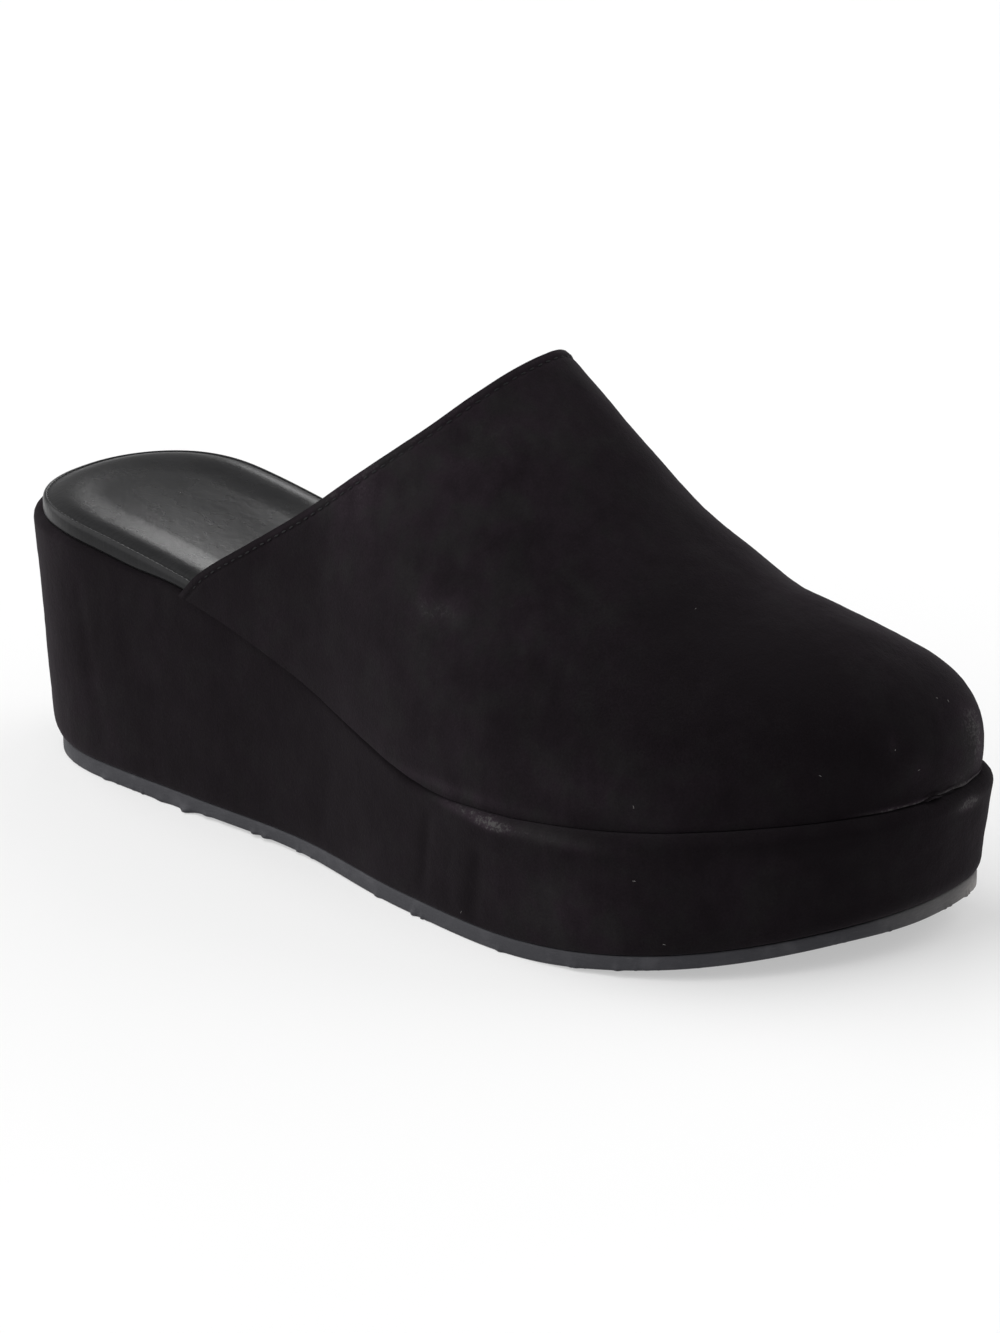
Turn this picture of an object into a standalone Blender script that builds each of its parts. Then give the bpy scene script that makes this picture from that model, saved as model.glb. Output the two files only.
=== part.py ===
"""A closed-toe wedge mule for the right foot, as an assembly of four separate pieces.

The pieces are the rubber outsole, the suede-covered wedge with its platform, the padded leather insole that
shows at the heel, and the suede upper that is open at the back. X runs from heel to toe, +Y is the inner
(big toe) side and +Z is up. The origin is on the floor, at the middle of the shoe's length and width.
"""

import math

import bmesh
import bpy
from mathutils import Vector

# Driving sizes, in metres.
LENGTH = 0.250  # the wedge at its top edge, heel to toe
BALL_WIDTH = 0.094  # the platform across the ball of the foot
HEEL_HEIGHT = 0.0606  # floor to the top of the wedge at the heel
PLATFORM_HEIGHT = 0.0325  # floor to the top of the wedge under the ball
TOE_SPRING = 0.0078  # how far the outsole lifts off the floor at the toe
UNDERCUT = 0.0036  # how far the wedge's wall leans in at the heel
TUCK = 0.0055  # the most that the wedge's foot turns in below its wall
FOLD_HEIGHT = 0.0050  # height of that turn
EDGE_RADIUS = 0.0030  # the wedge's top edge, where it shows
OUTSOLE_HEEL = 0.0042  # outsole thickness under the heel
OUTSOLE_TOE = 0.0040  # outsole thickness at the toe
WAIST_LIFT = 0.0007  # the outsole clears the floor between heel and ball
OUTSOLE_CHAMFER = 0.0004  # the outsole's lower edge
LEDGE = 0.0040  # platform that shows round the upper at the toe
OVERHANG = 0.0020  # the upper stands out past the wedge at the waist
UPPER_WALL = 0.0020  # suede and lining together
BULGE = 0.0022  # the upper's side swells out above its lower edge
PEAK_ALONG = 0.1440  # the top of the vamp, from the back of the heel
PEAK_HEIGHT = 0.1190  # the top of the vamp, from the floor
CORNER_ALONG = 0.0670  # the upper's back corners, from the back of the heel
TOE_BOX_HEIGHT = 0.0310  # toe box above the platform
TOE_BOX_DEPTH = 0.0270  # from the upper's tip back to where its top levels
INSOLE_THICKNESS = 0.0034  # at its edge, above the wedge
INSOLE_INSET = 0.0030  # wedge that shows behind the insole at the heel
INSOLE_EDGE_RADIUS = 0.0018
CUP_DEPTH = 0.0026  # dish of the insole under the heel
GAP = 0.0003  # between pieces that touch
INSOLE_CLEARANCE = 0.0005  # between the insole's edge and the upper's lining

# Colours.
RUBBER_GREY = (0.055, 0.055, 0.058)
SUEDE_BLACK = (0.012, 0.011, 0.012)
LEATHER_BLACK = (0.016, 0.016, 0.017)

# How finely the curves are cut.
SIDE_STEPS = 48  # along one side of a sole ring
ARC_STEPS = 4  # round an edge
UPPER_COLUMNS = 38  # topline to toe
UPPER_ROWS = 18  # lower edge to crown, on each side
DISH_COLUMNS = 8  # across the insole
WALL_STEPS = 3  # up the wedge's wall
SMOOTH_ANGLE = 40  # degrees; sharper edges stay sharp
TURN_STEP = 0.002  # for the direction of the sole's edge

# The plan of the wedge's top edge. "along" is a share of LENGTH from the heel, "half" and "swing" are shares
# of BALL_WIDTH: half the width there, and how far its middle lies towards the inner side.
PLAN = (
    {"along": 0.00, "half": 0.328, "swing": -0.007},
    {"along": 0.14, "half": 0.329, "swing": -0.012},
    {"along": 0.28, "half": 0.331, "swing": -0.015},
    {"along": 0.42, "half": 0.342, "swing": -0.020},
    {"along": 0.57, "half": 0.415, "swing": -0.045},
    {"along": 0.71, "half": 0.490, "swing": -0.026},
    {"along": 0.85, "half": 0.505, "swing": 0.040},
    {"along": 1.00, "half": 0.490, "swing": 0.220},
)
HEEL_ROUND = {"share": 0.14, "power": 2.2}
TOE_ROUND = {"share": 0.34, "power": 2.40}

# The wedge's top, as a share of the rise from the platform's height to the heel's height.
RISE = (
    {"along": 0.00, "rise": 1.00},
    {"along": 0.10, "rise": 0.99},
    {"along": 0.20, "rise": 0.89},
    {"along": 0.30, "rise": 0.72},
    {"along": 0.40, "rise": 0.44},
    {"along": 0.50, "rise": 0.17},
    {"along": 0.60, "rise": -0.03},
    {"along": 0.68, "rise": -0.04},
    {"along": 0.76, "rise": 0.00},
    {"along": 0.90, "rise": 0.09},
    {"along": 1.00, "rise": 0.13},
)
# The wedge's wall from heel to toe. "lean" is a share of UNDERCUT, "tuck" of TUCK, "edge" of EDGE_RADIUS and
# "insole" of INSOLE_INSET.
WALL = (
    {"along": 0.00, "lean": 1.00, "tuck": 0.60, "edge": 1.00, "insole": 1.00},
    {"along": 0.08, "lean": 0.60, "tuck": 0.25, "edge": 0.60, "insole": 0.50},
    {"along": 0.20, "lean": 0.05, "tuck": 0.10, "edge": 0.30, "insole": 0.17},
    {"along": 0.45, "lean": -0.40, "tuck": 0.05, "edge": 0.50, "insole": 0.17},
    {"along": 0.70, "lean": 0.15, "tuck": 0.05, "edge": 1.00, "insole": 0.17},
    {"along": 0.90, "lean": 0.40, "tuck": 0.15, "edge": 1.00, "insole": 0.17},
    {"along": 1.00, "lean": 0.60, "tuck": 0.50, "edge": 1.00, "insole": 0.17},
)
# The outsole's underside, in shares of LENGTH: flat under the heel, clear of the floor at the waist, flat
# again under the ball, and lifting from there to the toe.
HEEL_FLAT_END = 0.26
WAIST_START = 0.29
WAIST_END = 0.36
BALL_FLAT_START = 0.52
SPRING_START = 0.70
# The width of the ledge round the upper as a share of LEDGE, going over to OVERHANG where it is -1.
LEDGES = (
    {"along": 0.00, "ledge": -1.00},
    {"along": 0.34, "ledge": -1.00},
    {"along": 0.42, "ledge": -0.70},
    {"along": 0.50, "ledge": -0.35},
    {"along": 0.60, "ledge": 0.10},
    {"along": 0.67, "ledge": 0.55},
    {"along": 0.75, "ledge": 0.90},
    {"along": 1.00, "ledge": 0.65},
)
# The crown of the last, seen from the side. "height" is a share of the climb from the top of the toe box to
# the peak of the vamp, "side" a share of BALL_WIDTH towards the inner side, and "square" how full a section is.
CROWN = (
    {"along": 0.25, "height": 2.20, "side": 0.020, "square": 1.80},
    {"along": 0.45, "height": 1.48, "side": 0.045, "square": 1.80},
    {"along": 0.58, "height": 0.985, "side": 0.075, "square": 1.80},
    {"along": 0.65, "height": 0.70, "side": 0.090, "square": 1.85},
    {"along": 0.72, "height": 0.43, "side": 0.105, "square": 1.95},
    {"along": 0.80, "height": 0.225, "side": 0.125, "square": 2.15},
    {"along": 0.88, "height": 0.125, "side": 0.155, "square": 2.50},
    {"along": 1.00, "height": 0.04, "side": 0.210, "square": 2.60},
)
# The topline, seen from the side, from a back corner to the peak.
TOPLINE = (
    {"up": 0.00, "forward": 0.00},
    {"up": 0.12, "forward": 0.10},
    {"up": 0.28, "forward": 0.295},
    {"up": 0.45, "forward": 0.50},
    {"up": 0.62, "forward": 0.68},
    {"up": 0.80, "forward": 0.86},
    {"up": 0.92, "forward": 0.95},
    {"up": 1.00, "forward": 1.00},
)
# The topline is found by halving a stretch of the shoe's length.
TOPLINE_SEARCH = {"from": 0.15, "to": 0.80, "halvings": 40}
FAN_START = 0.60  # share of LENGTH from which the upper's sections fan out round the toe
# The insole's dish is full at its start and has run out at its end, in shares of LENGTH.
DISH_START = 0.09
DISH_END = 0.45
DISH_POWER = 0.8  # below 1 the dish is flatter in its middle and steeper at its sides


def read(table, key, column, at):
    """The table's column at a place along its key, on a smooth curve through its rows."""
    at = min(max(at, table[0][key]), table[-1][key])
    right = max(1, next((i for i, row in enumerate(table) if row[key] >= at), len(table) - 1))
    low, high = table[right - 1], table[right]
    span = high[key] - low[key]

    def slope(i):
        before, after = table[max(i - 1, 0)], table[min(i + 1, len(table) - 1)]
        return (after[column] - before[column]) / (after[key] - before[key])

    t = (at - low[key]) / span
    ends = (2 * t**3 - 3 * t**2 + 1) * low[column] + (3 * t**2 - 2 * t**3) * high[column]
    turns = (t**3 - 2 * t**2 + t) * slope(right - 1) + (t**3 - t**2) * slope(right)
    return ends + turns * span


def end_round(along):
    """Share of the full width that the rounded heel and toe leave."""
    left = 1.0
    if along < HEEL_ROUND["share"]:
        left = (1 - (1 - along / HEEL_ROUND["share"]) ** HEEL_ROUND["power"]) ** (1 / HEEL_ROUND["power"])
    toe = (along - 1 + TOE_ROUND["share"]) / TOE_ROUND["share"]
    if toe > 0:
        left *= max(0.0, 1 - toe ** TOE_ROUND["power"]) ** (1 / TOE_ROUND["power"])
    return left


def along_of(turn):
    """Share of LENGTH at a turn. A turn goes from 0 at the heel, along the outer side to pi at the toe, and back
    along the inner side to 2 pi."""
    return (1 - math.cos(turn)) / 2


def turn_of(along):
    """The turn on the outer side at a share of LENGTH."""
    return math.acos(1 - 2 * along)


def edge_point(turn):
    """A point of the wedge's top edge in plan."""
    along = along_of(turn)
    side = -1 if turn % (2 * math.pi) < math.pi else 1
    half = read(PLAN, "along", "half", along) * end_round(along)
    middle = read(PLAN, "along", "swing", along)
    return Vector((along * LENGTH, (middle + side * half) * BALL_WIDTH))


def inset_point(turn, inset):
    """That point moved in, square to the edge, by the inset."""
    tangent = (edge_point(turn + TURN_STEP) - edge_point(turn - TURN_STEP)).normalized()
    return edge_point(turn) + Vector((-tangent.y, tangent.x)) * inset


def top_height(x):
    """Height of the wedge's top at a length from the heel."""
    rise = read(RISE, "along", "rise", x / LENGTH)
    return PLATFORM_HEIGHT + rise * (HEEL_HEIGHT - PLATFORM_HEIGHT)


def ramp(at, start, end):
    """Goes smoothly from 0 at the start to 1 at the end."""
    t = min(max((at - start) / (end - start), 0.0), 1.0)
    return t * t * (3 - 2 * t)


def spring(x):
    """How far the sole has lifted towards the toe."""
    return TOE_SPRING * (max(0.0, x / LENGTH - SPRING_START) / (1 - SPRING_START)) ** 2


def floor_height(x):
    """Height of the outsole's underside."""
    along = x / LENGTH
    waist = ramp(along, HEEL_FLAT_END, WAIST_START) - ramp(along, WAIST_END, BALL_FLAT_START)
    return spring(x) + WAIST_LIFT * waist


def outsole_top(x):
    """Height of the outsole's top, which the wedge stands on."""
    return spring(x) + OUTSOLE_HEEL + (OUTSOLE_TOE - OUTSOLE_HEEL) * x / LENGTH


def wall(column, turn):
    """A column of the wall's table at a turn, in metres."""
    whole = {"lean": UNDERCUT, "tuck": TUCK, "edge": EDGE_RADIUS, "insole": INSOLE_INSET}[column]
    return read(WALL, "along", column, along_of(turn)) * whole


def feather_inset(turn):
    """How far the upper's lower edge lies inside the wedge's top edge."""
    ledge = read(LEDGES, "along", "ledge", along_of(turn))
    return ledge * (LEDGE if ledge > 0 else OVERHANG)


def ring(inset, height):
    """One closed loop of points round the sole. inset takes the turn, height the point's length from the heel."""
    points = []
    for k in range(2 * SIDE_STEPS):
        turn = math.pi * k / SIDE_STEPS
        x, y = inset_point(turn, inset(turn))
        points.append(Vector((x, y, height(x, turn))))
    return points


def arc():
    """(inset, drop) pairs down a rounded edge, from its flat side to its upright side, for a radius of one."""
    turns = [math.pi / 2 * k / ARC_STEPS for k in range(ARC_STEPS + 1)]
    return [(1 - math.sin(t), 1 - math.cos(t)) for t in turns]


def own_origin():
    """The object's origin in the heel's frame: on the floor, at the middle of its length and width."""
    across = [edge_point(math.pi * k / SIDE_STEPS).y for k in range(2 * SIDE_STEPS)]
    return Vector((LENGTH / 2, (min(across) + max(across)) / 2, 0.0))


def add_loops(mesh, loops):
    """Closed loops of points joined one to the next, as a tube. Returns the vertices, loop by loop."""
    made = [[mesh.verts.new(p) for p in loop] for loop in loops]
    for low, high in zip(made, made[1:]):
        for k in range(len(low)):
            after = (k + 1) % len(low)
            mesh.faces.new((low[k], low[after], high[after], high[k]))
    return made


def add_cap(mesh, loop, columns, height, up):
    """A loop closed by strips from its outer to its inner side. Where there are several columns, height gives a
    point's z from its place and its share of the way across."""
    lines = []
    for k in range(1, SIDE_STEPS):
        outer, inner = loop[k], loop[2 * SIDE_STEPS - k]
        line = [outer]
        for c in range(1, columns):
            spot = outer.co.lerp(inner.co, c / columns)
            spot.z = height(spot, c / columns)
            line.append(mesh.verts.new(spot))
        lines.append(line + [inner])
    for first, second in zip(lines, lines[1:]):
        for c in range(columns):
            corners = (first[c], first[c + 1], second[c + 1], second[c])
            mesh.faces.new(corners[::-1] if up else corners)
    for tip, line in ((loop[0], lines[0]), (loop[SIDE_STEPS], lines[-1])):
        for c in range(columns):
            corners = (tip, line[c], line[c + 1])
            heel = tip is loop[0]
            mesh.faces.new(corners if heel != up else corners[::-1])


def finish(name, mesh, colour, roughness):
    """Turns a bmesh into an object with its own material."""
    bmesh.ops.translate(mesh, verts=mesh.verts, vec=-own_origin())
    bmesh.ops.recalc_face_normals(mesh, faces=mesh.faces)
    data = bpy.data.meshes.new(name)
    mesh.to_mesh(data)
    mesh.free()
    data.shade_smooth()
    data.set_sharp_from_angle(angle=math.radians(SMOOTH_ANGLE))
    piece = bpy.data.objects.new(name, data)
    bpy.context.scene.collection.objects.link(piece)
    material = bpy.data.materials.new(name + "_finish")
    material.use_nodes = True
    shader = material.node_tree.nodes["Principled BSDF"]
    shader.inputs["Base Color"].default_value = (*colour, 1.0)
    shader.inputs["Roughness"].default_value = roughness
    shader.inputs["Metallic"].default_value = 0.0
    data.materials.append(material)
    return piece


def build_outsole():
    """The thin rubber sole: flat on the floor from heel to ball, lifting at the toe, with a cut edge."""

    def inset(turn):
        return wall("lean", turn) + wall("tuck", turn)

    mesh = bmesh.new()
    loops = [
        ring(lambda t: inset(t) + OUTSOLE_CHAMFER, lambda x, t: floor_height(x)),
        ring(inset, lambda x, t: floor_height(x) + OUTSOLE_CHAMFER),
        ring(inset, lambda x, t: outsole_top(x)),
    ]
    made = add_loops(mesh, loops)
    add_cap(mesh, made[0], 1, None, False)
    add_cap(mesh, made[-1], 1, None, True)
    return finish("outsole", mesh, RUBBER_GREY, 0.75)


def build_wedge():
    """The block covered in suede: its foot turned under, its wall leaning in at heel and toe, its top edge round."""

    def foot(x):
        return outsole_top(x) + GAP

    loops = []
    for inset, rise in arc():
        loops.append(
            ring(
                lambda t, i=inset: wall("lean", t) + wall("tuck", t) * i,
                lambda x, t, r=rise: foot(x) + FOLD_HEIGHT * r,
            )
        )
    for share in [k / WALL_STEPS for k in range(1, WALL_STEPS)]:
        loops.append(
            ring(
                lambda t, s=share: wall("lean", t) * (1 - s),
                lambda x, t, s=share: (foot(x) + FOLD_HEIGHT) * (1 - s) + (top_height(x) - wall("edge", t)) * s,
            )
        )
    for inset, drop in reversed(arc()):
        loops.append(
            ring(
                lambda t, i=inset: wall("edge", t) * i,
                lambda x, t, d=drop: top_height(x) - wall("edge", t) * d,
            )
        )
    mesh = bmesh.new()
    made = add_loops(mesh, loops)
    add_cap(mesh, made[0], 1, None, False)
    add_cap(mesh, made[-1], 1, None, True)
    return finish("wedge", mesh, SUEDE_BLACK, 0.95)


def insole_inset(turn):
    """How far the insole's edge lies inside the wedge's top edge: clear of the upper's inside."""
    return max(wall("insole", turn), feather_inset(turn) + UPPER_WALL + INSOLE_CLEARANCE)


def build_insole():
    """The padded leather insole: a rolled edge, and a shallow dish under the heel that runs out at the waist."""

    def base(x):
        return top_height(x) + GAP

    loops = [ring(insole_inset, lambda x, t: base(x))]
    for inset, drop in reversed(arc()):
        inward = INSOLE_EDGE_RADIUS * inset
        height = INSOLE_THICKNESS - INSOLE_EDGE_RADIUS * drop
        loops.append(ring(lambda t, i=inward: insole_inset(t) + i, lambda x, t, h=height: base(x) + h))
    mesh = bmesh.new()
    made = add_loops(mesh, loops)
    add_cap(mesh, made[0], 1, None, False)

    def dished(spot, across):
        along = spot.x / LENGTH
        fade = ramp(along, 0.0, DISH_START) - ramp(along, DISH_START, DISH_END)
        depth = CUP_DEPTH * fade * math.sin(math.pi * across) ** DISH_POWER
        return base(spot.x) + INSOLE_THICKNESS - depth

    add_cap(mesh, made[-1], DISH_COLUMNS, dished, True)
    return finish("insole", mesh, LEATHER_BLACK, 0.42)


def crown_height(x):
    """Height of the last's top line at a length from the heel."""
    box_top = PLATFORM_HEIGHT + TOE_BOX_HEIGHT
    return box_top + read(CROWN, "along", "height", x / LENGTH) * (PEAK_HEIGHT - box_top)


def crown_x(turn):
    """Where on the crown the section from this point of the edge ends: straight across, then fanned at the toe."""
    start = turn_of(FAN_START)
    x = LENGTH * along_of(turn)
    if turn <= start:
        return x
    first, last = FAN_START * LENGTH, LENGTH - LEDGE - TOE_BOX_DEPTH
    t = (turn - start) / (math.pi - start)
    pull = LENGTH / 2 * math.sin(start) * (math.pi - start)
    return (2 * t**3 - 3 * t**2 + 1) * first + (3 * t**2 - 2 * t**3) * last + (t**3 - 2 * t**2 + t) * pull


def upper_point(turn, lift, side):
    """A point of the upper's outside. turn picks the section, lift goes from 0 at the lower edge to pi / 2 at
    the crown, and side is -1 for the outer and 1 for the inner side."""
    full_turn = turn if side < 0 else 2 * math.pi - turn
    foot = inset_point(full_turn, feather_inset(turn))
    top_x = crown_x(turn)
    top = Vector((top_x, read(CROWN, "along", "side", top_x / LENGTH) * BALL_WIDTH))
    swell = BULGE * math.sin(2 * lift) * math.cos(lift)
    plan = top.lerp(foot, math.cos(lift)) + (foot - top).normalized() * swell
    square = read(CROWN, "along", "square", top_x / LENGTH)
    base = top_height(foot.x) + GAP
    height = base + (crown_height(plan.x) - base) * math.sin(lift) ** (2 / square)
    return Vector((plan.x, plan.y, height))


def topline_x(height):
    """Length from the heel at which the upper is cut off at this height."""
    corner = top_height(CORNER_ALONG) + GAP
    up = (height - corner) / (PEAK_HEIGHT - corner)
    return CORNER_ALONG + read(TOPLINE, "up", "forward", up) * (PEAK_ALONG - CORNER_ALONG)


def first_turn(lift, side):
    """The turn at which the topline crosses this line of the upper."""
    low, high = turn_of(TOPLINE_SEARCH["from"]), turn_of(TOPLINE_SEARCH["to"])
    for _ in range(TOPLINE_SEARCH["halvings"]):
        middle = (low + high) / 2
        point = upper_point(middle, lift, side)
        low, high = (middle, high) if point.x < topline_x(point.z) else (low, middle)
    return high


def build_upper():
    """The suede upper: one vamp from the slanting topline to the toe, hollow, open at the back and underneath."""
    mesh = bmesh.new()
    rows = [(-1, k) for k in range(UPPER_ROWS)] + [(1, k) for k in range(UPPER_ROWS, -1, -1)]
    lines = []
    for side, k in rows:
        lift = math.pi / 2 * k / UPPER_ROWS
        start = first_turn(lift, side)
        turns = [start + (math.pi - start) * c / UPPER_COLUMNS for c in range(UPPER_COLUMNS + 1)]
        lines.append([mesh.verts.new(upper_point(turn, lift, side)) for turn in turns])
    for first, second in zip(lines, lines[1:]):
        for c in range(UPPER_COLUMNS):
            mesh.faces.new((first[c], second[c], second[c + 1], first[c + 1]))
    bmesh.ops.remove_doubles(mesh, verts=mesh.verts, dist=1e-6)
    piece = finish("upper", mesh, SUEDE_BLACK, 0.95)
    thickness = piece.modifiers.new("thickness", "SOLIDIFY")
    thickness.thickness = UPPER_WALL
    thickness.offset = -1.0
    return piece


def main():
    for old in list(bpy.data.objects):
        bpy.data.objects.remove(old, do_unlink=True)
    build_outsole()
    build_wedge()
    build_insole()
    build_upper()


main()
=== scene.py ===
import math

import bmesh
import bpy
from mathutils import Matrix, Vector, kdtree, noise


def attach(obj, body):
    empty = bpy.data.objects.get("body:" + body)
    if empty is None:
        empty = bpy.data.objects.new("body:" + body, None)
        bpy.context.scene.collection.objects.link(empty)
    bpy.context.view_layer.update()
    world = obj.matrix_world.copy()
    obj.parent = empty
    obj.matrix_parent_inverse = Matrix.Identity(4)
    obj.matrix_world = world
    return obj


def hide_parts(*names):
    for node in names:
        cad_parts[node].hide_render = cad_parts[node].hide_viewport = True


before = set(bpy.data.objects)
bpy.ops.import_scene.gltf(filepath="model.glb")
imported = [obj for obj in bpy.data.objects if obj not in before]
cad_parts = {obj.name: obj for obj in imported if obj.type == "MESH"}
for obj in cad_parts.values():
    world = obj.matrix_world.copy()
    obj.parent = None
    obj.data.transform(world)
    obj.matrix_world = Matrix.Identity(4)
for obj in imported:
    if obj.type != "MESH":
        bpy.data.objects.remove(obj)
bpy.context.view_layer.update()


# Outsole: a thin sheet of dark grey rubber, cut round the wedge's foot and glued on. Its cut edge is a little
# rough, with small teeth of flash along its lower side, and a nub is left where the heel's flat ends.
LENGTH = 0.250
BALL_WIDTH = 0.094
HEEL_HEIGHT = 0.0606
PLATFORM_HEIGHT = 0.0325
TOE_SPRING = 0.0078
UNDERCUT = 0.0036
TUCK = 0.0055
OUTSOLE_HEEL = 0.0042
OUTSOLE_TOE = 0.0040
WAIST_LIFT = 0.0007
OUTSOLE_CHAMFER = 0.0004
TURN_STEP = 0.002
PLAN = (
    {"along": 0.00, "half": 0.328, "swing": -0.007},
    {"along": 0.14, "half": 0.329, "swing": -0.012},
    {"along": 0.28, "half": 0.331, "swing": -0.015},
    {"along": 0.42, "half": 0.342, "swing": -0.020},
    {"along": 0.57, "half": 0.415, "swing": -0.045},
    {"along": 0.71, "half": 0.490, "swing": -0.026},
    {"along": 0.85, "half": 0.505, "swing": 0.040},
    {"along": 1.00, "half": 0.490, "swing": 0.220},
)
HEEL_ROUND = {"share": 0.14, "power": 2.2}
TOE_ROUND = {"share": 0.34, "power": 2.40}
RISE = (
    {"along": 0.00, "rise": 1.00},
    {"along": 0.10, "rise": 0.99},
    {"along": 0.20, "rise": 0.89},
    {"along": 0.30, "rise": 0.72},
    {"along": 0.40, "rise": 0.44},
    {"along": 0.50, "rise": 0.17},
    {"along": 0.60, "rise": -0.03},
    {"along": 0.68, "rise": -0.04},
    {"along": 0.76, "rise": 0.00},
    {"along": 0.90, "rise": 0.09},
    {"along": 1.00, "rise": 0.13},
)
WALL = (
    {"along": 0.00, "lean": 1.00, "tuck": 0.60, "edge": 1.00, "insole": 1.00},
    {"along": 0.08, "lean": 0.60, "tuck": 0.25, "edge": 0.60, "insole": 0.50},
    {"along": 0.20, "lean": 0.05, "tuck": 0.10, "edge": 0.30, "insole": 0.17},
    {"along": 0.45, "lean": -0.40, "tuck": 0.05, "edge": 0.50, "insole": 0.17},
    {"along": 0.70, "lean": 0.15, "tuck": 0.05, "edge": 1.00, "insole": 0.17},
    {"along": 0.90, "lean": 0.40, "tuck": 0.15, "edge": 1.00, "insole": 0.17},
    {"along": 1.00, "lean": 0.60, "tuck": 0.50, "edge": 1.00, "insole": 0.17},
)
HEEL_FLAT_END = 0.26
WAIST_START = 0.29
WAIST_END = 0.36
BALL_FLAT_START = 0.52
SPRING_START = 0.70
SOLE_TURNS = 1400
# The underside rises a little before the toe and drops again at its tip, by shares of the shoe's length.
TOE_BEND = {"lift": 0.0006, "from": 0.72, "to": 0.84, "drop": 2.0, "drop_from": 0.945}
# Small teeth on the cut edge, and the places that have them: how many a metre, and how high.
TEETH = {"a_metre": 900, "high": 0.0005, "over": 0.1, "gain": 2.2}
TOOTHED_PLACES = {"a_metre": 90, "level": 0.3, "full": 0.25}
# Torn bits of flash that stand out at the outer side, in millimetres, by their share along the shoe.
TEARS = (
    {"along": 0.150, "reach": 0.5, "width": 1.2},
    {"along": 0.228, "reach": 0.5, "width": 2.0},
    {"along": 0.2640, "reach": 1.5, "width": 1.7},
    {"along": 0.290, "reach": 0.5, "width": 1.2},
    {"along": 0.3540, "reach": 0.8, "width": 0.9},
    {"along": 0.3684, "reach": 0.8, "width": 0.9},
    {"along": 0.5350, "reach": 0.5, "width": 0.9},
    {"along": 0.5870, "reach": 0.6, "width": 0.8},
    {"along": 0.6967, "reach": 0.5, "width": 0.8},
    {"along": 0.7760, "reach": 0.5, "width": 1.0},
    {"along": 0.8140, "reach": 0.6, "width": 0.8},
)
FLARE = {"turn": 3.50, "reach": 0.0017, "width": 0.17}
RUBBER = (0.024, 0.0238, 0.0285)
RUBBER_DUSTY = (0.050, 0.049, 0.055)
RUBBER_PALE = (0.30, 0.285, 0.275)
PLAN_SAMPLES = 96
# Where the rubber is rubbed pale, in millimetres: a place, a reach along each axis, and how much.
SOLE_WORN = (
    {"at": (117.5, 37.0, 6.0), "reach": (6.0, 9.0, 5.0), "light": 0.85},
    {"at": (121.0, 20.0, 9.0), "reach": (8.0, 16.0, 6.0), "light": 0.20},
    {"at": (-118.0, -20.0, 4.4), "reach": (9.0, 16.0, 0.5), "light": 0.35},
)


def read(table, key, column, at):
    """The table's column at a place along its key, on a smooth curve through its rows."""
    at = min(max(at, table[0][key]), table[-1][key])
    right = max(1, next((i for i, row in enumerate(table) if row[key] >= at), len(table) - 1))
    low, high = table[right - 1], table[right]
    span = high[key] - low[key]

    def slope(i):
        before, after = table[max(i - 1, 0)], table[min(i + 1, len(table) - 1)]
        return (after[column] - before[column]) / (after[key] - before[key])

    t = (at - low[key]) / span
    ends = (2 * t**3 - 3 * t**2 + 1) * low[column] + (3 * t**2 - 2 * t**3) * high[column]
    turns = (t**3 - 2 * t**2 + t) * slope(right - 1) + (t**3 - t**2) * slope(right)
    return ends + turns * span


def along_of(turn):
    return (1 - math.cos(turn)) / 2


def edge_point(turn):
    """A point of the wedge's top edge in plan. A turn goes from 0 at the heel, along the outer side to pi at
    the toe, and back along the inner side."""
    along = along_of(turn)
    left = 1.0
    if along < HEEL_ROUND["share"]:
        power = HEEL_ROUND["power"]
        left = (1 - (1 - along / HEEL_ROUND["share"]) ** power) ** (1 / power)
    toe = (along - 1 + TOE_ROUND["share"]) / TOE_ROUND["share"]
    if toe > 0:
        power = TOE_ROUND["power"]
        left *= max(0.0, 1 - toe**power) ** (1 / power)
    side = -1 if turn % (2 * math.pi) < math.pi else 1
    half = read(PLAN, "along", "half", along) * left
    middle = read(PLAN, "along", "swing", along)
    return Vector((along * LENGTH, (middle + side * half) * BALL_WIDTH))


def inward(turn):
    """The direction in plan that points in from the edge."""
    tangent = (edge_point(turn + TURN_STEP) - edge_point(turn - TURN_STEP)).normalized()
    return Vector((-tangent.y, tangent.x))


def ramp(at, start, end):
    t = min(max((at - start) / (end - start), 0.0), 1.0)
    return t * t * (3 - 2 * t)


def spring(x):
    return TOE_SPRING * (max(0.0, x / LENGTH - SPRING_START) / (1 - SPRING_START)) ** 2


def floor_height(x):
    along = x / LENGTH
    waist = ramp(along, HEEL_FLAT_END, WAIST_START) - ramp(along, WAIST_END, BALL_FLAT_START)
    return spring(x) + WAIST_LIFT * waist


def outsole_top(x):
    return spring(x) + OUTSOLE_HEEL + (OUTSOLE_TOE - OUTSOLE_HEEL) * x / LENGTH


def wall(column, whole, turn):
    return read(WALL, "along", column, along_of(turn)) * whole


def foot_inset(turn):
    return wall("lean", UNDERCUT, turn) + wall("tuck", TUCK, turn)


def sheet_of(columns, rows, place):
    """The operator's grid, with each vertex moved to the place for its column and row."""
    mesh = bmesh.new()
    bmesh.ops.create_grid(mesh, x_segments=columns, y_segments=rows, size=1.0)
    for vert in mesh.verts:
        column = round((vert.co.x + 1) / 2 * columns)
        row = round((vert.co.y + 1) / 2 * rows)
        vert.co = place(column, row) - home
    bmesh.ops.remove_doubles(mesh, verts=mesh.verts, dist=1e-6)
    return mesh


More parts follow.
